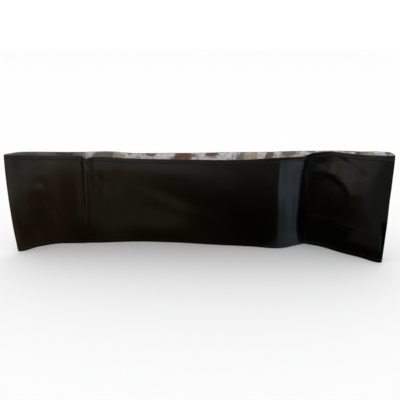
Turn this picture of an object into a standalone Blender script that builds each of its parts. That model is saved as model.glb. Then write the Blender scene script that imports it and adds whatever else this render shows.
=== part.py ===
"""Marching drum cover: a sleeve of black vinyl cloth with a silver foil lining.

The sleeve is off its drum and stands on its long edge, pressed nearly flat. Its near wall leans towards
-Y in the middle, both ends swing forward, and a deep upright fold lies near the right-hand end.
"""
from collections import namedtuple

import bmesh
import bpy
import numpy as np

MM = 0.001

# Driving dimensions, in metres
CLOTH_HEIGHT = 295 * MM
PANEL_THICKNESS = 1.5 * MM
LINING_THICKNESS = 1.0 * MM
PLY_GAP = 0.4 * MM
LINING_SETBACK = 3.0 * MM

# How finely the cloth is divided: rows up its height, and columns round the loop. The columns are set out
# along a curve with SPAN_STEPS points between stations, at most LONG_STEP apart in proportion to the rest,
# closer where the cloth turns (one more for each TURN_STEP radians), and no closer than SHORT_STEP.
ROWS = 10
COLUMNS = 112
SPAN_STEPS = 24
LONG_STEP = 30 * MM
SHORT_STEP = 2.5 * MM
TURN_STEP = 0.16

# The loop seen from above, walked from the left-hand end along the near wall, round the right-hand end and
# back along the far wall. Each row gives the plan place of the cloth at its foot and at its top edge, and how
# far the cloth bulges outwards halfway up. All are millimetres.
Station = namedtuple("Station", "foot_x foot_y top_x top_y bulge")
STATIONS = [
    # near wall: left wing, swung forward
    Station(-528, -15, -530, -32, 0),
    Station(-486, 18, -488, -23, 2),
    Station(-431, 43, -440, -14, 4),
    Station(-392, 46, -396, -12, 5),
    # near wall: the crease where the left wing meets the middle
    Station(-348, 47, -352, -12, 3),
    Station(-334, 48, -336, -8, -1),
    Station(-320, 49, -320, -25, 4),
    Station(-290, 52, -294, -22, 5),
    # near wall: the long middle, leaning forward
    Station(-190, 59, -194, -29, 8),
    Station(-70, 51, -74, -38, 10),
    Station(49, 34, 43, -51, 10),
    Station(169, 18, 150, -55, 9),
    # near wall: the crest and the valley of the upright fold
    Station(228, 7, 206, -52, 7),
    Station(258, 12, 238, -43, 5),
    Station(292, 31, 272, -33, 4),
    Station(316, 39, 316, -1, -2),
    Station(338, 36, 336, 1, -3),
    # near wall: right wing, swung forward
    Station(366, 20, 366, -12, 0),
    Station(411, -21, 411, -49, 3),
    Station(459, -57, 459, -73, 3),
    # right-hand end, square and open
    Station(499, -92, 512, -76, 0),
    Station(504, -93, 517, -74, 0),
    Station(507, -88, 518, -69, 0),
    Station(505, -55, 519, -30, 0),
    Station(499, -42, 514, -19, 0),
    Station(490, -31, 502, -11, 0),
    # far wall
    Station(455, 2, 458, -7, -2),
    Station(400, 40, 400, 12, -4),
    Station(338, 66, 338, 21, -5),
    Station(280, 68, 280, 21, -5),
    Station(200, 66, 200, 14, -7),
    Station(100, 73, 100, 16, -8),
    Station(0, 82, 0, 16, -8),
    Station(-100, 90, -100, 19, -8),
    Station(-190, 92, -190, 20, -8),
    Station(-250, 90, -250, 29, -7),
    Station(-340, 84, -340, 22, -6),
    Station(-430, 74, -430, 19, -5),
    Station(-485, 51, -488, 9, -3),
    # left-hand end, a sharper turn
    Station(-508, 32, -514, -1, 0),
    Station(-520, 18, -523, -10, 0),
    Station(-535, -9, -535, -26, 0),
    Station(-534, -14, -535, -30, 0),
]

# Finishes
VINYL_BLACK = (0.012, 0.011, 0.010, 1.0)
VINYL_ROUGHNESS = 0.28
FOIL_SILVER = (0.74, 0.75, 0.77, 1.0)
FOIL_ROUGHNESS = 0.18
SHARP_EDGE = np.radians(40)


def clear_scene():
    for thing in list(bpy.data.objects):
        bpy.data.objects.remove(thing, do_unlink=True)


def finish(name, colour, roughness, metallic):
    material = bpy.data.materials.new(name)
    material.use_nodes = True
    shader = material.node_tree.nodes["Principled BSDF"]
    shader.inputs["Base Color"].default_value = colour
    shader.inputs["Roughness"].default_value = roughness
    shader.inputs["Metallic"].default_value = metallic
    return material


def smooth_loop(table):
    """A closed smooth curve through the stations, as many finely spaced rows of the same columns."""
    middle = (table[:, 0:2] + table[:, 2:4]) / 2
    spans = np.linalg.norm(np.roll(middle, -1, axis=0) - middle, axis=1)[:, None]
    chords = (np.roll(table, -1, axis=0) - table) / spans
    before, chord_before = np.roll(spans, 1, axis=0), np.roll(chords, 1, axis=0)
    slopes = (chords * before + chord_before * spans) / (before + spans)
    next_table, next_slopes = np.roll(table, -1, axis=0), np.roll(slopes, -1, axis=0)
    rows = []
    for part in np.arange(SPAN_STEPS) / SPAN_STEPS:
        rise = part * part * (3 - 2 * part)
        leave = part * (1 - part) ** 2
        arrive = part * part * (part - 1)
        rows.append(table * (1 - rise) + next_table * rise + (slopes * leave + next_slopes * arrive) * spans)
    return np.stack(rows, axis=1).reshape(-1, table.shape[1])


def columns_of(curve):
    """Picks COLUMNS rows of the curve, closer together where the cloth turns."""
    middle = (curve[:, 0:2] + curve[:, 2:4]) / 2
    step = np.roll(middle, -1, axis=0) - middle
    heading = np.arctan2(step[:, 1], step[:, 0])
    turn = np.abs((np.roll(heading, -1) - heading + np.pi) % (2 * np.pi) - np.pi)
    length = np.linalg.norm(step, axis=1)
    effort = np.cumsum(np.minimum(length / LONG_STEP + turn / TURN_STEP, length / SHORT_STEP))
    wanted = np.arange(COLUMNS) / COLUMNS * effort[-1]
    return curve[np.searchsorted(effort, wanted)]


def loop_columns():
    """The cloth's columns round the loop, set with the loop's box centred on the origin."""
    curve = smooth_loop(np.array(STATIONS, dtype=float) * MM)
    columns = columns_of(curve)
    plan = np.concatenate([columns[:, 0:2], columns[:, 2:4]])
    centre = (plan.min(axis=0) + plan.max(axis=0)) / 2
    columns[:, 0:4] -= np.tile(centre, 2)
    return columns


def cloth_grid(columns, shares):
    """Points of the outer face at the given shares of the height, one row of points for each share."""
    foot, top, bulge = columns[:, 0:2], columns[:, 2:4], columns[:, 4:5]
    ahead = np.roll(foot + top, -1, axis=0) - np.roll(foot + top, 1, axis=0)
    outward = np.stack([ahead[:, 1], -ahead[:, 0]], axis=1)
    outward /= np.linalg.norm(outward, axis=1)[:, None]
    # A wall that bulges into a shallow bow reaches less far from foot to top than its cloth is long
    reach = CLOTH_HEIGHT - 8 / 3 * bulge[:, 0] ** 2 / CLOTH_HEIGHT
    height = np.sqrt(reach ** 2 - np.sum((top - foot) ** 2, axis=1))
    grid = []
    for share in shares:
        bow = 4 * share * (1 - share)
        plan = foot + (top - foot) * share + outward * bulge * bow
        grid.append(np.column_stack([plan, height * share]))
    return grid


def open_sleeve(name, grid):
    """The closed loop of cloth as an open surface, faces outwards."""
    shape = bmesh.new()
    rings = [[shape.verts.new(point) for point in row] for row in grid]
    for lower, upper in zip(rings, rings[1:]):
        for column in range(COLUMNS):
            beside = (column + 1) % COLUMNS
            shape.faces.new((lower[column], lower[beside], upper[beside], upper[column]))
    mesh = bpy.data.meshes.new(name)
    shape.to_mesh(mesh)
    shape.free()
    return bpy.data.objects.new(name, mesh)


def thicken(sleeve, thickness, setback):
    """Gives the surface its thickness inwards, starting at setback behind the outer face."""
    wall = sleeve.modifiers.new("Thickness", "SOLIDIFY")
    wall.thickness = thickness
    wall.offset = -1 - 2 * setback / thickness
    wall.use_even_offset = True
    graph = bpy.context.evaluated_depsgraph_get()
    solid = bpy.data.meshes.new_from_object(sleeve.evaluated_get(graph))
    sleeve.modifiers.remove(wall)
    sleeve.data = solid
    solid.name = sleeve.name


def rest_on_floor(sleeve):
    """Levels the foot, so that the inner edge of its leaning walls meets the floor too."""
    below_first_row = CLOTH_HEIGHT / ROWS / 2
    for vertex in sleeve.data.vertices:
        if vertex.co.z < below_first_row:
            vertex.co.z = 0.0


def add_ply(collection, name, shares, thickness, setback, material):
    """One layer of the sleeve, from the loop's outer face inwards."""
    sleeve = open_sleeve(name, cloth_grid(loop_columns(), shares))
    collection.objects.link(sleeve)
    thicken(sleeve, thickness, setback)
    sleeve.data.materials.clear()
    sleeve.data.materials.append(material)
    sleeve.data.shade_smooth()
    sleeve.data.set_sharp_from_angle(angle=SHARP_EDGE)
    return sleeve


def outer_panel(collection):
    """The black vinyl cloth, one long strip closed into a loop, its hems turned in at foot and mouth."""
    shares = np.linspace(0, 1, ROWS + 1)
    vinyl = finish("black_vinyl", VINYL_BLACK, VINYL_ROUGHNESS, metallic=0.0)
    panel = add_ply(collection, "outer_panel", shares, PANEL_THICKNESS, 0.0, vinyl)
    rest_on_floor(panel)


def inner_lining(collection):
    """The silver foil lining, just inside the panel and a little short of both its edges."""
    shares = np.linspace(0, 1, ROWS + 1)
    shares[0] = LINING_SETBACK / CLOTH_HEIGHT
    shares[-1] = 1 - LINING_SETBACK / CLOTH_HEIGHT
    foil = finish("silver_foil", FOIL_SILVER, FOIL_ROUGHNESS, metallic=1.0)
    add_ply(collection, "inner_lining", shares, LINING_THICKNESS, PANEL_THICKNESS + PLY_GAP, foil)


clear_scene()
cover = bpy.data.collections.new("marching_drum_cover")
bpy.context.scene.collection.children.link(cover)
outer_panel(cover)
inner_lining(cover)
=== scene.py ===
"""Dresses the marching drum cover: a sleeve of black vinyl cloth with a silver foil lining."""
from collections import namedtuple

import bmesh
import bpy
import numpy as np
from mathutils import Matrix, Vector, noise


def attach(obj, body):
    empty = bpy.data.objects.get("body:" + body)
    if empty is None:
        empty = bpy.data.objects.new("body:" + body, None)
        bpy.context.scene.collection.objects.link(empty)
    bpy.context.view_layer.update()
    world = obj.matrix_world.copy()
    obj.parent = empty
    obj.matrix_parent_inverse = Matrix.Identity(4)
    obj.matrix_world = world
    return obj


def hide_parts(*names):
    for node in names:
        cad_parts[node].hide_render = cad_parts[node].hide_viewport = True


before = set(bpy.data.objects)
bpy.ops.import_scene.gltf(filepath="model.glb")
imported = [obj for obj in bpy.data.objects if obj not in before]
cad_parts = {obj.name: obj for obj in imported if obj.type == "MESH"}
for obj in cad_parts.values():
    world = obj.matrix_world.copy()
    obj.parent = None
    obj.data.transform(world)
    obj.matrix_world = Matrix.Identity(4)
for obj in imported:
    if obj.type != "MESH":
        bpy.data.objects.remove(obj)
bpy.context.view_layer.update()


# The black vinyl cloth
# One long strip of cloth with a glossy black vinyl face, closed into a loop by a lapped seam at the back.
# Both long edges are turned in and topstitched. It stands on the lower hem, pressed nearly flat, and keeps
# the folds it was packed with.

MM = 0.001
CLOTH_HEIGHT = 295 * MM
VINYL_THICKNESS = 1.2 * MM

# The loop seen from above, in millimetres, walked from the left-hand end along the near wall, round the
# right-hand end and back along the far wall: where the cloth stands, where its top edge is, and how far it
# bulges outwards halfway up.
Station = namedtuple("Station", "foot_x foot_y top_x top_y bulge")
STATIONS = [
    # near wall: left wing, swung forward
    Station(-528, -15, -530, -32, 3),
    Station(-486, 18, -488, -23, 2),
    Station(-431, 43, -440, -14, 4),
    Station(-392, 46, -396, -14, 5),
    # near wall: the crease where the left wing meets the middle
    Station(-362, 47, -345, -13, 4),
    Station(-347, 48, -330, -12, 3),
    Station(-336, 49, -317, -26, 4),
    Station(-300, 51, -288, -22, 5),
    # near wall: the long middle, leaning forward
    Station(-190, 59, -194, -29, 8),
    Station(-70, 51, -74, -38, 10),
    Station(49, 34, 43, -51, 10),
    Station(169, 18, 150, -55, 9),
    # near wall: the crest and the valley of the upright fold
    Station(228, 7, 206, -52, 6),
    Station(258, 12, 241, -45, 3),
    Station(280, 23, 267, -36, 3),
    Station(298, 32, 290, -27, 2),
    Station(306, 36, 298, -23, -2),
    Station(321, 43, 324, -8, -13),
    # near wall: right wing, swung forward
    Station(366, 20, 368, -16, -2),
    Station(411, -21, 411, -49, 5),
    Station(459, -57, 459, -73, 8),
    # right-hand end, square and open
    Station(506, -93, 516, -77, 0),
    Station(511, -93, 520, -75, 1),
    Station(513, -89, 521, -70, 1),
    Station(511, -55, 522, -30, 0),
    Station(505, -42, 517, -19, 0),
    Station(494, -31, 505, -11, 0),
    # far wall
    Station(455, 2, 458, -7, -2),
    Station(400, 40, 400, 12, -4),
    Station(338, 66, 338, 21, -5),
    Station(280, 68, 280, 21, -5),
    Station(200, 66, 200, 14, -7),
    Station(100, 73, 100, 16, -8),
    Station(0, 82, 0, 16, -8),
    Station(-100, 90, -100, 19, -8),
    Station(-190, 92, -190, 20, -8),
    Station(-250, 90, -250, 29, -7),
    Station(-340, 84, -340, 22, -6),
    Station(-430, 74, -430, 19, -5),
    Station(-485, 51, -488, 9, -3),
    # left-hand end, a sharper turn
    Station(-508, 32, -514, -1, 0),
    Station(-520, 18, -523, -10, 2),
    Station(-535, -9, -535, -26, 5),
    Station(-534, -14, -535, -30, 5),
]
VALLEY_STATION = 17
LAST_NEAR_STATION = 20
FIRST_FAR_STATION = 26

# The cut isn't quite even: how far the top edge stands above the cloth's height, in millimetres, by the
# station's number
TOP_RISES = (
    # near wall: the middle, and the right wing
    (6, 0), (8, 3.5), (12, 3.5), (15, 0), (17, 7), (18, 8), (20, 9),
    # right-hand end, far wall and left-hand end
    (24, 8), (26, 5), (28, 3.5), (39, 3), (41, 1), (43, 0),
)

# The cloth is set out in columns round the loop, about LONG_STEP apart, closer where it turns
SPAN_STEPS = 40
COLUMNS = 470
LONG_STEP = 6 * MM
SHORT_STEP = 1.2 * MM
TURN_STEP = 0.12

# Each long edge is turned in by HEM_WIDTH, which makes it HEM_RISE thicker, and is sewn down along a line.
# The turned-in edge shows as a step HEM_STEP wide. The hem rolls inwards by HEM_ROLL at its very edge.
HEM_WIDTH = 13 * MM
HEM_RISE = 0.7 * MM
HEM_STEP = 1.5 * MM
HEM_ROLL = 1.2 * MM
SEW_LINE = 10 * MM
SEW_GROOVE = 0.5 * MM
SEW_GROOVE_WIDTH = 1.3 * MM

# The cloth's rows lie close together up to CLOSE_ROWS_TO from each long edge
CLOSE_ROWS_TO = HEM_WIDTH + 4 * MM
HEM_ROWS = 17
FIELD_ROWS = 46

# The lower corner at the right-hand end is worn round, and its rise fades out upwards over CORNER_FADE
CORNER_RADIUS = 7 * MM
CORNER_FADE = 30 * MM

# The seam that closes the loop, hidden on the far wall: a lap that stands out by SEAM_RISE, each of its sides
# a step SEAM_STEP wide
SEAM_X = -140 * MM
SEAM_WIDTH = 15 * MM
SEAM_RISE = 0.9 * MM
SEAM_STEP = 2 * MM

# Creases and dents of the near wall, each a soft ridge (above 0) or trough (below 0) along a path over the
# wall: its height and half width, and the path's points as distance along and height, all in millimetres
Crease = namedtuple("Crease", "rise width path")
CREASES = [
    # where the left wing meets the middle
    Crease(-1.2, 5, ((-319, 287), (-307, 268), (-294, 240))),
    Crease(-1.0, 9, ((-282, 232), (-252, 193))),
    Crease(1.6, 16, ((-258, 270), (-268, 155), (-286, 30))),
    Crease(0.8, 6, ((-306, 118), (-304, 104))),
    # the left wing's own softer shapes
    Crease(1.0, 12, ((-462, 262), (-484, 79))),
    Crease(1.4, 13, ((-450, 187), (-411, 103))),
    # the long middle
    Crease(1.4, 26, ((-290, 242), (-170, 240), (-60, 242))),
    Crease(-1.2, 12, ((-172, 184), (-60, 132), (105, 76))),
    Crease(-4.4, 32, ((-172, 172), (-60, 120), (105, 62))),
    # crest and valley of the upright fold
    Crease(1.6, 9, ((221, 283), (225, 166), (238, 20))),
    # the right wing's dents, and the arched lip below them
    Crease(-1.6, 10, ((346, 266), (350, 264))),
    Crease(-1.5, 8, ((401, 278), (425, 262), (449, 243))),
    Crease(1.4, 8, ((336, 230), (358, 237), (386, 232), (410, 211), (424, 182), (428, 150))),
    Crease(1.8, 16, ((330, 238), (358, 246), (390, 240), (416, 220), (432, 190))),
    Crease(-0.8, 3, ((470, 290), (469, 230))),
]

# The cloth's own unevenness all over: the rise of its swells and the distance over which they change. They
# keep only SWELL_AT_FOOT of their rise at the foot, and have all of it above SWELL_FREE_FROM of the height.
Swell = namedtuple("Swell", "rise reach")
SWELLS = [Swell(1.1 * MM, 110 * MM), Swell(0.35 * MM, 38 * MM)]
SWELL_AT_FOOT = 0.35
SWELL_FREE_FROM = 0.08

# The cloth is shaded smooth, but for folds sharper than this
SHARP_FOLD = np.radians(35)


def smooth_loop():
    """A closed smooth curve through the stations: close rows of foot, top, bulge and station number."""
    table = np.array(STATIONS, dtype=float) * MM
    middle = (table[:, 0:2] + table[:, 2:4]) / 2
    spans = np.linalg.norm(np.roll(middle, -1, axis=0) - middle, axis=1)[:, None]
    chords = (np.roll(table, -1, axis=0) - table) / spans
    before, chord_before = np.roll(spans, 1, axis=0), np.roll(chords, 1, axis=0)
    slopes = (chords * before + chord_before * spans) / (before + spans)
    next_table, next_slopes = np.roll(table, -1, axis=0), np.roll(slopes, -1, axis=0)
    # the valley is a sharp fold: the curve comes to it and leaves it straight
    slopes[VALLEY_STATION] = chords[VALLEY_STATION]
    next_slopes[VALLEY_STATION - 1] = chord_before[VALLEY_STATION]
    number = np.arange(len(table))[:, None]
    rows = []
    for part in np.arange(SPAN_STEPS) / SPAN_STEPS:
        rise = part * part * (3 - 2 * part)
        leave = part * (1 - part) ** 2
        arrive = part * part * (part - 1)
        place = table * (1 - rise) + next_table * rise + (slopes * leave + next_slopes * arrive) * spans
        rows.append(np.hstack([place, number + part]))
    return np.stack(rows, axis=1).reshape(-1, 6)


def loop_columns():
    """The cloth's columns round the loop, with the loop's box centred on the origin."""
    curve = smooth_loop()
    plan = np.concatenate([curve[:, 0:2], curve[:, 2:4]])
    curve[:, 0:4] -= np.tile((plan.min(axis=0) + plan.max(axis=0)) / 2, 2)
    middle = (curve[:, 0:2] + curve[:, 2:4]) / 2
    step = np.roll(middle, -1, axis=0) - middle
    heading = np.arctan2(step[:, 1], step[:, 0])
    turn = np.abs((np.roll(heading, -1) - heading + np.pi) % (2 * np.pi) - np.pi)
    length = np.linalg.norm(step, axis=1)
    effort = np.cumsum(np.minimum(length / LONG_STEP + turn / TURN_STEP, length / SHORT_STEP))
    wanted = np.arange(COLUMNS) / COLUMNS * effort[-1]
    valley = effort[VALLEY_STATION * SPAN_STEPS]
    wanted[np.argmin(np.abs(wanted - valley))] = valley
    return np.column_stack([np.interp(wanted, effort, curve[:, k]) for k in range(6)])


def row_shares():
    """Heights of the cloth's rows as shares of its height, close together over the two hems."""
    edge = np.linspace(0, CLOSE_ROWS_TO, HEM_ROWS)
    field = np.linspace(edge[-1], CLOTH_HEIGHT - edge[-1], FIELD_ROWS)[1:-1]
    return np.concatenate([edge, field, CLOTH_HEIGHT - edge[::-1]]) / CLOTH_HEIGHT


def smooth_step(low, high, value):
    """0 below low, 1 above high and a smooth rise between them."""
    part = np.clip((value - low) / (high - low), 0, 1)
    return part * part * (3 - 2 * part)


def hang(columns, shares):
    """The cloth's smooth hang: its points, and at each the direction out of the sleeve."""
    foot, top, bulge = columns[:, 0:2], columns[:, 2:4], columns[:, 4:5]
    ahead = np.roll(foot + top, -1, axis=0) - np.roll(foot + top, 1, axis=0)
    outward = np.stack([ahead[:, 1], -ahead[:, 0]], axis=1)
    outward /= np.linalg.norm(outward, axis=1)[:, None]
    # a shallow arc is longer than its chord by 8/3 of its bulge squared over its length
    reach = CLOTH_HEIGHT - 8 / 3 * bulge[:, 0] ** 2 / CLOTH_HEIGHT
    stations, rises = np.transpose(TOP_RISES)
    rise = np.interp(columns[:, 5], stations, rises) * MM
    height = np.sqrt(reach ** 2 - np.sum((top - foot) ** 2, axis=1)) + rise
    rows = []
    for share in shares:
        # nothing at both edges and 1 halfway up
        bow = 4 * share * (1 - share)
        plan = foot + (top - foot) * share + outward * bulge * bow
        rows.append(np.column_stack([plan, height * share]))
    points = np.array(rows)
    past = np.clip(foot[:, 0] - foot[:, 0].max() + CORNER_RADIUS, 0, CORNER_RADIUS)
    raised = CORNER_RADIUS - np.sqrt(CORNER_RADIUS ** 2 - past ** 2)
    points[..., 2] += raised * np.clip(1 - points[..., 2] / CORNER_FADE, 0, 1)
    along = np.roll(points, -1, axis=1) - np.roll(points, 1, axis=1)
    out = np.cross(along, np.gradient(points, axis=0))
    return points, out / np.linalg.norm(out, axis=2)[..., None]


def crease_rise(crease, x, z):
    """How far one crease lifts the cloth at each place of the near wall."""
    nearest = np.full(x.shape, np.inf)
    path = np.array(crease.path) * MM
    for start, end in zip(path, path[1:]):
        run = end - start
        part = ((x - start[0]) * run[0] + (z - start[1]) * run[1]) / run.dot(run)
        part = np.clip(part, 0, 1)
        away = np.hypot(x - start[0] - run[0] * part, z - start[1] - run[1] * part)
        nearest = np.minimum(nearest, away)
    return crease.rise * MM * np.exp(-(nearest / (crease.width * MM)) ** 2)


def folds(columns, shares, points):
    """How far the cloth stands out of its smooth hang for its creases and swells."""
    near = columns[:, 5] < LAST_NEAR_STATION
    lift = np.zeros(points.shape[:2])
    for crease in CREASES:
        lift += crease_rise(crease, points[..., 0], points[..., 2]) * near
    free = SWELL_AT_FOOT + (1 - SWELL_AT_FOOT) * smooth_step(0, SWELL_FREE_FROM, shares)[:, None]
    for swell in SWELLS:
        wave = [noise.noise(Vector(point / swell.reach)) for point in points.reshape(-1, 3)]
        lift += swell.rise * np.array(wave).reshape(lift.shape) * free
    return lift


def hems(shares, columns):
    """How far the vinyl stands out for its turned-in edges, their sewing lines and the lapped seam."""
    from_edge = np.minimum(shares, 1 - shares)[:, None] * CLOTH_HEIGHT
    turned_in = 1 - smooth_step(HEM_WIDTH - HEM_STEP, HEM_WIDTH, from_edge)
    rolled = np.clip(1 - from_edge / HEM_WIDTH, 0, 1)
    sewn = np.exp(-((from_edge - SEW_LINE) / SEW_GROOVE_WIDTH) ** 2)
    from_seam = np.abs((columns[:, 0] + columns[:, 2]) / 2 - SEAM_X)[None, :]
    far = (columns[:, 5] > FIRST_FAR_STATION)[None, :]
    lapped = 1 - smooth_step((SEAM_WIDTH - SEAM_STEP) / 2, (SEAM_WIDTH + SEAM_STEP) / 2, from_seam)
    lapped = lapped * far
    return HEM_RISE * turned_in - HEM_ROLL * rolled - SEW_GROOVE * sewn + SEAM_RISE * lapped


def sleeve(name, points, thickness):
    """The loop of cloth as a closed sheet, its thickness inwards, with a map of metres round and up."""
    rows, columns = points.shape[:2]
    shape = bmesh.new()
    verts = [[shape.verts.new(point) for point in row] for row in points]
    faces = []
    for lower, upper in zip(verts, verts[1:]):
        for column in range(columns):
            beside = (column + 1) % columns
            faces.append(shape.faces.new((lower[column], lower[beside], upper[beside], upper[column])))
    cloth_map = shape.loops.layers.uv.new("cloth")
    middle = points[rows // 2]
    walked = np.concatenate([[0], np.cumsum(np.linalg.norm(np.roll(middle, -1, axis=0) - middle, axis=1))])
    for number, face in enumerate(faces):
        row, column = divmod(number, columns)
        for corner, (up, ahead) in zip(face.loops, ((0, 0), (0, 1), (1, 1), (1, 0))):
            corner[cloth_map].uv = (walked[column + ahead], CLOTH_HEIGHT * SHARES[row + up])
    mesh = bpy.data.meshes.new(name)
    shape.to_mesh(mesh)
    shape.free()
    sheet = bpy.data.objects.new(name, mesh)
    bpy.context.scene.collection.objects.link(sheet)
    bpy.ops.object.select_all(action="DESELECT")
    sheet.select_set(True)
    bpy.context.view_layer.objects.active = sheet
    wall = sheet.modifiers.new("Thickness", "SOLIDIFY")
    wall.thickness = thickness
    wall.offset = -1
    bpy.ops.object.modifier_apply(modifier=wall.name)
    for vertex in sheet.data.vertices:
        vertex.co.z = max(vertex.co.z, 0.0)
    bpy.ops.object.shade_smooth_by_angle(angle=SHARP_FOLD)
    return sheet


class Wire:
    """One output of a node. Arithmetic on wires and numbers adds the Math nodes that work it out."""

    def __init__(self, finish, socket):
        self.finish, self.socket = finish, socket

    def maths(self, operation, *values):
        sockets = dict(enumerate(values))
        return self.finish.add("ShaderNodeMath", {"operation": operation}, sockets)

    def __add__(self, other):
        return self.maths("ADD", self, other)

    def __radd__(self, other):
        return self.maths("ADD", other, self)

    def __mul__(self, other):
        return self.maths("MULTIPLY", self, other)

    def __rmul__(self, other):
        return self.maths("MULTIPLY", other, self)


class Finish:
    """A node tree under construction: a material's or the world's."""

    def __init__(self, owner):
        owner.use_nodes = True
        self.tree = owner.node_tree
        self.shader = self.tree.nodes.get("Principled BSDF") or self.tree.nodes.get("Background")

    def add(self, kind, settings=None, sockets=None, output=0):
        """A new node: its settings first, then its sockets, by name or number, from values or wires."""
        node = self.tree.nodes.new(kind)
        for name, value in (settings or {}).items():
            if name == "stops":
                self.set_stops(node.color_ramp, value)
            else:
                setattr(node, name, value)
        for name, value in (sockets or {}).items():
            self.feed(node.inputs[name], value)
        return Wire(self, node.outputs[output])

    def set_stops(self, ramp, stops):
        while len(ramp.elements) < len(stops):
            ramp.elements.new(1.0)
        for element, (place, colour) in zip(ramp.elements, stops):
            element.position = place
            element.color = (*colour, 1.0)

    def feed(self, socket, value):
        if isinstance(value, Wire):
            self.tree.links.new(value.socket, socket)
        else:
            socket.default_value = value

    def set(self, **values):
        """Feeds the shader's own sockets, named with _ for a space."""
        for name, value in values.items():
            self.feed(self.shader.inputs[name.replace("_", " ")], value)

    def blend(self, mask, under, over):
        """One colour laid over another where the mask says."""
        # the Mix node's sockets for colours are 6 and 7, and its output for them is 2
        sockets = {0: mask, 6: under, 7: over}
        return self.add("ShaderNodeMix", {"data_type": "RGBA"}, sockets, output=2)

    def between(self, low, high, value):
        """0 below low, 1 above high and a smooth rise between them."""
        settings = {"interpolation_type": "SMOOTHSTEP"}
        sockets = {"Value": value, "From Min": low, "From Max": high}
        return self.add("ShaderNodeMapRange", settings, sockets)

    def bump(self, height, strength, distance):
        """The surface's normal over fine relief, whose height runs from 0 to 1 over the distance."""
        sockets = {"Height": height, "Strength": strength, "Distance": distance}
        return self.add("ShaderNodeBump", {}, sockets)

    def mottle(self, where, size, detail=2.0, roughness=0.5):
        """Cloudy noise from 0 to 1 whose clouds are about size metres across."""
        sockets = {"Vector": where, "Scale": 1 / size, "Detail": detail, "Roughness": roughness}
        return self.add("ShaderNodeTexNoise", {}, sockets)


def rgb(red, green, blue):
    """A colour, opaque."""
    return (red, green, blue, 1.0)


# The vinyl's face: the black where it is clean and where it is smeared, and the dust on it
CLEAN_BLACK = rgb(0.0008, 0.0007, 0.0006)
SMEARED_BLACK = rgb(0.0016, 0.0014, 0.0012)
DUST_GREY = rgb(0.010, 0.010, 0.010)
DUST_STRENGTH = 0.1
GRAIN_SIZE = 1.1 * MM
GRAIN_DEPTH = 0.12 * MM


def vinyl_finish():
    """Glossy black vinyl: fine grain, faint print-through of the weave, smears and a little dust."""
    material = bpy.data.materials.new("black_vinyl_cloth")
    finish = Finish(material)
    where = finish.add("ShaderNodeTexCoord", output="Object")
    smears = finish.mottle(where, 90 * MM, detail=4.0, roughness=0.6)
    dust = finish.between(0.52, 0.75, finish.mottle(where, 14 * MM, detail=6.0, roughness=0.7))
    sockets = {"Vector": where, "Scale": 1 / GRAIN_SIZE}
    grain = finish.add("ShaderNodeTexVoronoi", {"feature": "F1"}, sockets)
    fine = finish.mottle(where, 3 * MM, detail=4.0)
    black = finish.blend(smears, CLEAN_BLACK, SMEARED_BLACK)
    finish.set(
        Base_Color=finish.blend(dust * DUST_STRENGTH, black, DUST_GREY),
        Roughness=0.13 + smears * 0.10 + dust * 0.05,
        Normal=finish.bump(grain * 0.6 + fine * 0.4, strength=0.25, distance=GRAIN_DEPTH),
    )
    return material


SHARES = row_shares()
columns = loop_columns()
smooth_points, outward = hang(columns, SHARES)
lift = folds(columns, SHARES, smooth_points)

vinyl_rise = lift + hems(SHARES, columns)
vinyl_points = smooth_points + outward * vinyl_rise[..., None]
vinyl = sleeve("vinyl_sleeve", vinyl_points, VINYL_THICKNESS)
vinyl.data.materials.append(vinyl_finish())
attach(vinyl, "root")
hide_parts("outer_panel")


# The silver foil lining
# Thin metallised foil on a woven scrim, laid inside the vinyl cloth and sewn in with its hems. It shows above
# the near wall, crinkled, with painted reflections on the silver: cloudy patches of white highlight, tan,
# olive and dark red-brown.

FOIL_THICKNESS = 0.5 * MM
FOIL_BEHIND = VINYL_THICKNESS + 0.5 * MM
FOIL_SHORT_OF_EDGE = 3 * MM
CRINKLE_RISE = 0.8 * MM
CRINKLE_REACH = 15 * MM

# The painted reflections and painted shade on the silver, each patch laid over those before it: what it
# follows (clouds, the fine crinkles or the place along the cover), where in that it sets in and where it is
# full, how strong it is, and its colour
SILVER = rgb(0.86, 0.87, 0.89)
CLOUD_SIZE = 70 * MM
OTHER_CLOUD_SIZE = 55 * MM
OTHER_CLOUD_SHIFT = (3.1, 1.7, 0.4)
Patch = namedtuple("Patch", "follows sets_in full strength colour")
PAINTED_LIGHT_PATCHES = [
    # painted reflections: white highlights, and tan, olive and dark red-brown clouds of mirrored surroundings
    Patch("clouds", 0.49, 0.57, 1.0, (1.0, 1.0, 0.99)),
    Patch("other_clouds", 0.52, 0.60, 0.85, (0.58, 0.44, 0.30)),
    Patch("clouds", 0.44, 0.38, 0.9, (0.22, 0.22, 0.15)),
    Patch("other_clouds", 0.42, 0.36, 0.9, (0.24, 0.08, 0.06)),
    # shade in the crinkles
    Patch("crinkles", 0.48, 0.38, 0.7, (0.20, 0.19, 0.17)),
    # the left-hand end, darkened to dark grey: a painted darker reflection
    Patch("along", -0.300, -0.345, 0.8, (0.08, 0.08, 0.06)),
]
FINE_CRINKLE_SIZE = 7 * MM
FINE_CRINKLE_DEPTH = 2.2 * MM


def foil_points():
    """The lining's outer face: just inside the vinyl, crinkled inwards, short of both its edges."""
    crinkle = [noise.noise(Vector(point / CRINKLE_REACH)) for point in smooth_points.reshape(-1, 3)]
    inwards = CRINKLE_RISE * (0.5 + 0.5 * np.array(crinkle).reshape(lift.shape))
    points = smooth_points + outward * (lift - FOIL_BEHIND - inwards)[..., None]
    share = FOIL_SHORT_OF_EDGE / CLOTH_HEIGHT
    for row, inner in ((0, 1), (-1, -2)):
        part = share / abs(SHARES[inner] - SHARES[row])
        points[row] += (points[inner] - points[row]) * part
    return points


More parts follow.
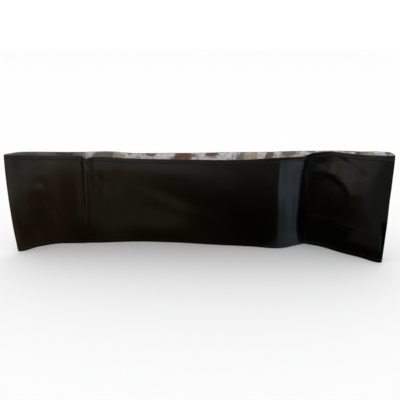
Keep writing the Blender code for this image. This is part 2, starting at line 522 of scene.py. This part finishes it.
def foil_finish():
    """Crinkled silver foil with painted reflections and painted shade in soft cloudy patches of colour."""
    material = bpy.data.materials.new("silver_foil_face")
    finish = Finish(material)
    where = finish.add("ShaderNodeTexCoord", output="Object")
    shift = {0: where, 1: OTHER_CLOUD_SHIFT}
    shifted = finish.add("ShaderNodeVectorMath", {"operation": "ADD"}, shift)
    crinkles = finish.mottle(where, FINE_CRINKLE_SIZE, detail=5.0, roughness=0.65)
    fields = {
        "clouds": finish.mottle(where, CLOUD_SIZE),
        "other_clouds": finish.mottle(shifted, OTHER_CLOUD_SIZE),
        "crinkles": crinkles,
        "along": finish.add("ShaderNodeSeparateXYZ", {}, {"Vector": where}, output="X"),
    }
    colour = SILVER
    for patch in PAINTED_LIGHT_PATCHES:
        mask = finish.between(patch.sets_in, patch.full, fields[patch.follows]) * patch.strength
        colour = finish.blend(mask, colour, rgb(*patch.colour))
    finish.set(
        Base_Color=colour,
        Metallic=0.30,
        Roughness=0.24 + crinkles * 0.16,
        Normal=finish.bump(crinkles, strength=1.0, distance=FINE_CRINKLE_DEPTH),
    )
    return material


foil = sleeve("foil_lining", foil_points(), FOIL_THICKNESS)
foil.data.materials.append(foil_finish())
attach(foil, "root")
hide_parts("inner_lining")


# The topstitching
# Black polyester thread in long machine stitches: one line round each hem, 10 mm in from its edge, which
# holds the turned-in vinyl and the lining, and two lines up the lapped seam at the back.

STITCH_PITCH = 4.6 * MM
STITCH_LENGTH = 4.0 * MM
STITCH_THREAD = 0.8 * MM
STITCH_OUT = 0.25 * MM
STITCH_SIDES = 6
SEAM_LINE = 5 * MM
THREAD_BLACK = rgb(0.004, 0.004, 0.004)
THREAD_WORN = rgb(0.016, 0.016, 0.017)
STRAND_SIZE = 0.5 * MM
STRAND_DEPTH = 0.1 * MM


def one_stitch():
    """A single stitch along X: a stretch of round thread that dips into the cloth at both its ends."""
    # a ball one unit across, with its poles along X, drawn out to the stitch's size
    bpy.ops.mesh.primitive_uv_sphere_add(
        segments=STITCH_SIDES,
        ring_count=STITCH_SIDES,
        radius=0.5,
        rotation=(0, np.pi / 2, 0),
    )
    stitch = bpy.context.active_object
    bpy.ops.object.transform_apply(location=False, rotation=True, scale=False)
    stitch.scale = (STITCH_LENGTH, STITCH_THREAD, STITCH_THREAD)
    bpy.ops.object.transform_apply(location=False, rotation=False, scale=True)
    return stitch


def stitch_places(line, out):
    """Evenly spaced places along a line on the cloth, with its run and the way out of the cloth at each."""
    step = np.linalg.norm(np.diff(line, axis=0), axis=1)
    walked = np.concatenate([[0], np.cumsum(step)])

    def at(distances, values):
        return np.column_stack([np.interp(distances, walked, values[:, axis]) for axis in range(3)])

    wanted = np.arange(STITCH_PITCH / 2, walked[-1], STITCH_PITCH)
    place = at(wanted, line)
    ahead = at(wanted + STITCH_PITCH / 2, line) - place
    return place, ahead, at(wanted, out)


def sew(stitch, lines):
    """Copies the stitch along every line and makes one mesh of the copies."""
    rows = [stitch_places(*line) for line in lines]
    places, aheads, aways = [np.concatenate(parts) for parts in zip(*rows)]
    aheads /= np.linalg.norm(aheads, axis=1)[:, None]
    across = np.cross(aways, aheads)
    across /= np.linalg.norm(across, axis=1)[:, None]
    aways = np.cross(aheads, across)
    turns = np.stack([aheads, across, aways], axis=1)
    corners = np.array([vertex.co for vertex in stitch.data.vertices])
    verts = (corners @ turns + (places + aways * STITCH_OUT)[:, None, :]).reshape(-1, 3)
    # a new ball's faces come in another order each run, so they are sorted
    outlines = sorted(tuple(face.vertices) for face in stitch.data.polygons)
    firsts = range(0, len(verts), len(corners))
    faces = [tuple(first + corner for corner in outline) for first in firsts for outline in outlines]
    mesh = bpy.data.meshes.new("topstitching")
    mesh.from_pydata(verts, [], faces)
    mesh.shade_smooth()
    thread = bpy.data.objects.new("topstitching", mesh)
    bpy.context.scene.collection.objects.link(thread)
    bpy.data.objects.remove(stitch)
    return thread


def thread_finish():
    """Matt black polyester thread, unevenly worn to dark grey."""
    material = bpy.data.materials.new("black_thread")
    finish = Finish(material)
    where = finish.add("ShaderNodeTexCoord", output="Object")
    worn = finish.mottle(where, 30 * MM, detail=3.0)
    strands = finish.mottle(where, STRAND_SIZE, detail=1.0)
    finish.set(
        Base_Color=finish.blend(worn, THREAD_BLACK, THREAD_WORN),
        Roughness=0.5 + strands * 0.2,
        Normal=finish.bump(strands, strength=0.4, distance=STRAND_DEPTH),
    )
    return material


def line_at(grid, row):
    """The line of a grid at a place between two of its rows."""
    lower = int(row)
    part = row - lower
    return grid[lower] * (1 - part) + grid[lower + 1] * part


# each sewing line is the places it runs through and the way out of the cloth at each: first the two hems'
cloth_grids = (vinyl_points, outward)
sewing_lines = []
for share in (SEW_LINE / CLOTH_HEIGHT, 1 - SEW_LINE / CLOTH_HEIGHT):
    row = np.interp(share, SHARES, np.arange(len(SHARES)))
    rings = [line_at(grid, row) for grid in cloth_grids]
    sewing_lines.append([np.vstack([ring, ring[:1]]) for ring in rings])
# then the seam's two, between the hems
far_columns = np.flatnonzero(columns[:, 5] > FIRST_FAR_STATION)
far_x = (columns[far_columns, 0] + columns[far_columns, 2]) / 2
for side in (-1, 1):
    column = np.interp(SEAM_X + side * SEAM_LINE, far_x[::-1], far_columns[::-1])
    uprights = [line_at(grid.swapaxes(0, 1), column) for grid in cloth_grids]
    sewing_lines.append([upright[HEM_ROWS:-HEM_ROWS] for upright in uprights])
thread = sew(one_stitch(), sewing_lines)
thread.data.materials.append(thread_finish())
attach(thread, "root")


# Floor, light and camera
# A plain white floor under even soft light. The gloss mirrors neither of them, but a dim room: a darker floor
# just below the white one, with broad pools of warm, grey and bluish light on it, two cards that stand before
# the right wing and its end, and a plain grey ceiling.

FLOOR_SIZE = 60.0
FLOOR_WHITE = rgb(0.92, 0.92, 0.92)
MIRRORED_FLOOR_DROP = 1 * MM
BLACK = rgb(0, 0, 0)

# The even white light all round, and the grey ceiling that the gloss mirrors, from the horizon up
SOFT_LIGHT = rgb(1.1, 1.1, 1.1)
CEILING = [(0.0, (0.60, 0.60, 0.62)), (0.30, (0.50, 0.49, 0.48)), (1.0, (0.9, 0.9, 0.9))]

# The camera stands close before the cover and looks down on it by 18 degrees
CAMERA_PLACE = (0.0083, -1.3695, 0.600)
CAMERA_TURN = (np.radians(72), 0, 0)
CAMERA_LENS = 45
CAMERA_SENSOR = 36

# The pools of light on the mirrored floor, each laid over those before it: centre and half sizes in metres,
# turn in degrees, how soft its edge is as a share of its size, and its colour
Pool = namedtuple("Pool", "x y half_long half_wide turn soft colour")
POOLS = [
    # grey light far to the left and far out in front
    Pool(-3.20, -0.50, 1.90, 3.65, 46, 0.23, (0.84, 0.84, 0.83)),
    Pool(-0.70, -4.50, 4.60, 2.05, -66, 0.30, (0.42, 0.42, 0.45)),
    # warm light to the left, and grey light beyond it
    Pool(-0.64, -0.33, 0.64, 0.24, 26, 0.46, (0.44, 0.29, 0.16)),
    Pool(-0.53, -0.56, 0.33, 0.18, 6, 0.25, (0.92, 0.82, 0.66)),
    Pool(-0.26, -0.51, 0.17, 0.16, 22, 0.34, (0.58, 0.51, 0.42)),
    Pool(-0.30, 0.21, 0.10, 0.63, -16, 0.80, (0.10, 0.05, 0.01)),
    Pool(-0.62, -0.86, 0.42, 0.26, 63, 0.11, (0.58, 0.54, 0.51)),
    # grey light in front of the middle
    Pool(0.07, -1.60, 0.31, 0.97, 3, 0.66, (0.41, 0.41, 0.41)),
    Pool(-0.01, -0.13, 0.28, 0.31, -90, 0.13, (0.36, 0.35, 0.22)),
    Pool(-0.07, -0.36, 0.14, 0.09, 1, 0.41, (0.53, 0.53, 0.49)),
    # the dark floor close to the middle
    Pool(0.02, 0.17, 0.55, 0.33, -92, 0.43, (0.060, 0.032, 0.001)),
    Pool(-0.21, -0.07, 0.16, 0.07, 12, 0.35, (0.18, 0.17, 0.09)),
    Pool(0.19, -0.16, 0.19, 0.13, -66, 0.77, (0.015, 0.007, 0.001)),
    Pool(0.15, -0.26, 0.09, 0.07, -55, 0.80, (0.048, 0.046, 0.005)),
    Pool(0.16, -0.06, 0.06, 0.08, -62, 0.46, (0.002, 0.001, 0.001)),
    # bluish light to the right, and the dark floor behind the low card
    Pool(0.79, -0.09, 0.51, 0.31, -38, 0.10, (0.38, 0.50, 0.61)),
    Pool(0.47, -0.10, 0.35, 0.07, -68, 0.10, (0.50, 0.63, 0.79)),
    Pool(0.73, -0.37, 0.13, 0.09, 18, 0.28, (0.74, 0.86, 1.01)),
    Pool(0.21, 0.14, 0.08, 0.35, 41, 0.46, (0.26, 0.35, 0.36)),
    Pool(0.40, 0.02, 0.12, 0.05, -44, 0.10, (0.045, 0.039, 0.031)),
    Pool(0.46, -0.07, 0.10, 0.014, -37, 0.30, (0.020, 0.020, 0.020)),
]
DIM_FLOOR = rgb(0.121, 0.122, 0.089)

# A low card stands close before the right wing and leans with it: its corners, how much nearer to the wing
# its back is than its lit front, and the front's colour. The back is black but for its upper right part,
# which sets in and is full at these distances to the right and up.
CARD_CORNERS = ((0.314, 0.030, 0), (0.515, -0.128, 0), (0.500, -0.145, 0.060), (0.300, 0.004, 0.070))
CARD_BACK_STEP = (1 * MM, 1 * MM, 0)
CARD_LIGHT = rgb(0.28, 0.35, 0.38)
CARD_BACK_LIGHT = rgb(0.085, 0.083, 0.070)
CARD_BACK_RIGHT = (0.390, 0.425)
CARD_BACK_UP = (0.016, 0.034)

# A plain black card before the right-hand end keeps the turn of the cloth there black
END_CARD_CORNERS = ((0.514, -0.130, 0), (0.585, -0.030, 0), (0.585, -0.030, 0.110), (0.506, -0.142, 0.110))


def add_stage(name, corners):
    """One flat four-cornered piece of the studio with its own finish."""
    mesh = bpy.data.meshes.new(name)
    mesh.from_pydata(corners, [], [(0, 1, 2, 3)])
    piece = bpy.data.objects.new(name, mesh)
    bpy.context.scene.collection.objects.link(piece)
    piece.data.materials.append(bpy.data.materials.new(name))
    return piece, Finish(piece.data.materials[0])


def only_mirrored(piece):
    """Leaves the piece to be seen in the gloss alone."""
    piece.visible_camera = False
    piece.visible_diffuse = False
    piece.visible_shadow = False


def floor_corners(level):
    """The corners of a wide square floor at a level."""
    reach = FLOOR_SIZE / 2
    return [(-reach, -reach, level), (reach, -reach, level), (reach, reach, level), (-reach, reach, level)]


floor, floor_finish = add_stage("white_floor", floor_corners(0))
floor_finish.set(Base_Color=FLOOR_WHITE, Roughness=0.9)
floor.visible_glossy = False

back_corners = [np.add(corner, CARD_BACK_STEP) for corner in CARD_CORNERS]
card_back, back_finish = add_stage("card_back", back_corners)
on_back = back_finish.add("ShaderNodeTexCoord", output="Object")
rightwards = back_finish.add("ShaderNodeSeparateXYZ", {}, {"Vector": on_back}, output="X")
upwards = back_finish.add("ShaderNodeSeparateXYZ", {}, {"Vector": on_back}, output="Z")
in_right = back_finish.between(*CARD_BACK_RIGHT, rightwards)
in_upper = back_finish.between(*CARD_BACK_UP, upwards)
back_light = back_finish.blend(in_right * in_upper, BLACK, CARD_BACK_LIGHT)
back_finish.set(Base_Color=BLACK, Roughness=1.0, Emission_Color=back_light, Emission_Strength=1.0)
only_mirrored(card_back)
card_front, front_finish = add_stage("card_front", CARD_CORNERS)
front_finish.set(Base_Color=BLACK, Roughness=1.0, Emission_Color=CARD_LIGHT, Emission_Strength=1.0)
only_mirrored(card_front)
end_card, end_finish = add_stage("end_card", END_CARD_CORNERS)
end_finish.set(Base_Color=BLACK, Roughness=1.0)
only_mirrored(end_card)

mirrored_floor, pool_finish = add_stage("mirrored_floor", floor_corners(-MIRRORED_FLOOR_DROP))
only_mirrored(mirrored_floor)
place = pool_finish.add("ShaderNodeTexCoord", output="Object")
light = DIM_FLOOR
for pool in POOLS:
    sockets = {
        "Vector": place,
        "Location": (pool.x, pool.y, 0),
        "Rotation": (0, 0, np.radians(pool.turn)),
        "Scale": (pool.half_long, pool.half_wide, 1),
    }
    in_pool = pool_finish.add("ShaderNodeMapping", {"vector_type": "TEXTURE"}, sockets)
    length = {"operation": "LENGTH"}
    away = pool_finish.add("ShaderNodeVectorMath", length, {0: in_pool}, output="Value")
    inside = pool_finish.between(1 + pool.soft, 1 - pool.soft, away)
    light = pool_finish.blend(inside, light, rgb(*pool.colour))
pool_finish.set(Base_Color=BLACK, Roughness=1.0, Emission_Color=light, Emission_Strength=1.0)

world = bpy.data.worlds.new("studio")
bpy.context.scene.world = world
around = Finish(world)
looking = around.add("ShaderNodeTexCoord", output="Generated")
height = around.add("ShaderNodeSeparateXYZ", {}, {"Vector": looking}, output="Z")
ceiling = around.add("ShaderNodeValToRGB", {"stops": CEILING}, {"Fac": height})
mirrored = around.add("ShaderNodeLightPath", output="Is Glossy Ray")
around.set(Color=around.blend(mirrored, SOFT_LIGHT, ceiling), Strength=1.0)

bpy.ops.object.camera_add(location=CAMERA_PLACE, rotation=CAMERA_TURN)
camera = bpy.context.active_object
camera.name = "camera"
camera.data.lens = CAMERA_LENS
camera.data.sensor_width = CAMERA_SENSOR
bpy.context.scene.camera = camera
bpy.context.scene.view_settings.view_transform = "Standard"
